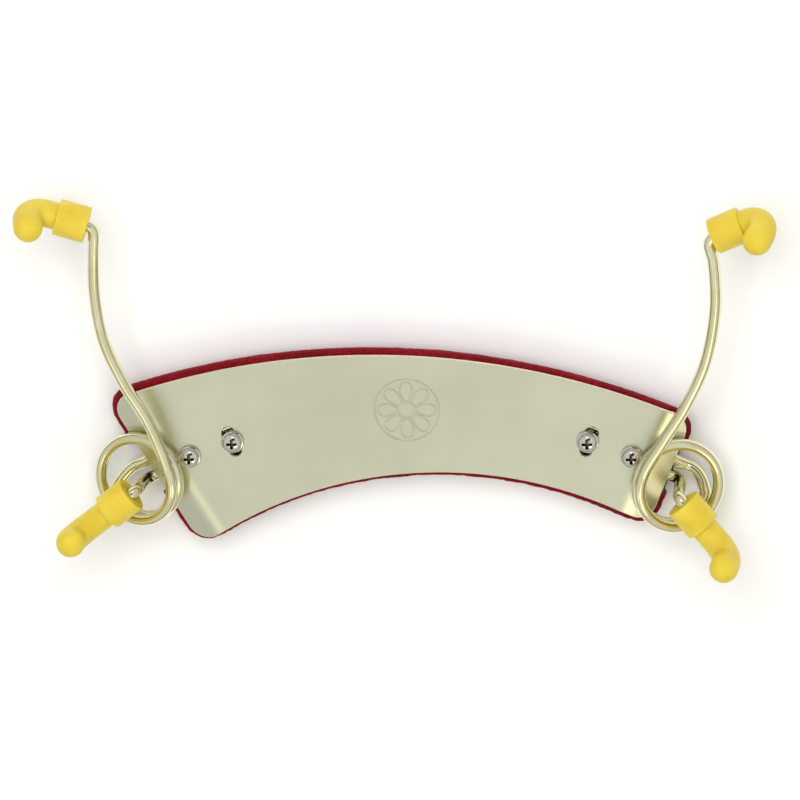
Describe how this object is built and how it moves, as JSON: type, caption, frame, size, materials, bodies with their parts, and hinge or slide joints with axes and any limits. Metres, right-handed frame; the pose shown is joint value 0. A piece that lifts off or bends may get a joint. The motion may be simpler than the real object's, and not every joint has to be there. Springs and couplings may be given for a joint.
{
  "type": "violin shoulder rest",
  "caption": "Violin shoulder rest: bent metal plate on a velvet pad, with a sprung wire leg under each end and rubber hooks that grip the violin's edges.",
  "frame": {"origin": "middle of the pad's flat underside, midway between the two pivot screws", "axes": "+X towards the right-hand leg, +Y towards the long arms, +Z out of the plate's metal face, towards the violin"},
  "size_m": [0.2085, 0.1079, 0.0328],
  "materials": {
    "plate": "satin champagne plating",
    "foam": "open-cell foam",
    "velvet": "dark red velvet",
    "bracket": "zinc plated",
    "washer": "nickel plated",
    "screw": "nickel plated",
    "wire": "polished pale gold plating",
    "foot": "translucent amber rubber"
  },
  "bodies": {
    "base": {"base_plate": "plate", "foam_pad": "foam", "velvet_cover": "velvet"},
    "left_leg": {"left_clamp_bracket": "bracket", "left_pivot_washer": "washer", "left_lock_washer": "washer", "left_coil_spring": "wire", "left_short_arm": "wire", "left_lower_foot": "foot"},
    "left_arm": {"left_long_arm": "wire", "left_upper_foot": "foot"},
    "left_pivot_fastener": {"left_pivot_screw": "screw"},
    "left_lock_fastener": {"left_lock_screw": "screw"},
    "right_leg": {"right_clamp_bracket": "bracket", "right_pivot_washer": "washer", "right_lock_washer": "washer", "right_coil_spring": "wire", "right_short_arm": "wire", "right_lower_foot": "foot"},
    "right_arm": {"right_long_arm": "wire", "right_upper_foot": "foot"},
    "right_pivot_fastener": {"right_pivot_screw": "screw"},
    "right_lock_fastener": {"right_lock_screw": "screw"}
  },
  "joints": [
    {"name": "left_leg_swivel", "type": "hinge", "parent": "base", "child": "left_leg", "pos_m": [-0.061, -0.0116, 0.0115], "axis": [0, 0, 1], "range_deg": [-4, 12]},
    {"name": "left_arm_spring", "type": "hinge", "parent": "left_leg", "child": "left_arm", "pos_m": [-0.0762, -0.0177, 0.0149], "axis": [-0.3746, 0, 0.9272], "range_deg": [-4, 12], "stiffness_Nm_per_rad": 8, "deforming": ["left_coil_spring"]},
    {"name": "left_pivot_screw_turn", "type": "hinge", "parent": "left_leg", "child": "left_pivot_fastener", "pos_m": [-0.061, -0.0116, 0.0115], "axis": [0, 0, 1], "range_deg": [0, 180]},
    {"name": "left_lock_screw_turn", "type": "hinge", "parent": "left_leg", "child": "left_lock_fastener", "pos_m": [-0.049, -0.00725, 0.0115], "axis": [0, 0, 1], "range_deg": [0, 180]},
    {"name": "right_leg_swivel", "type": "hinge", "parent": "base", "child": "right_leg", "pos_m": [0.061, -0.0116, 0.0115], "axis": [0, 0, 1], "range_deg": [-12, 8]},
    {"name": "right_arm_spring", "type": "hinge", "parent": "right_leg", "child": "right_arm", "pos_m": [0.0744, -0.0195, 0.0149], "axis": [-0.3746, 0, -0.9272], "range_deg": [-4, 12], "stiffness_Nm_per_rad": 8, "deforming": ["right_coil_spring"]},
    {"name": "right_pivot_screw_turn", "type": "hinge", "parent": "right_leg", "child": "right_pivot_fastener", "pos_m": [0.061, -0.0116, 0.0115], "axis": [0, 0, 1], "range_deg": [0, 180]},
    {"name": "right_lock_screw_turn", "type": "hinge", "parent": "right_leg", "child": "right_lock_fastener", "pos_m": [0.049, -0.00725, 0.0115], "axis": [0, 0, 1], "range_deg": [0, 180]}
  ]
}
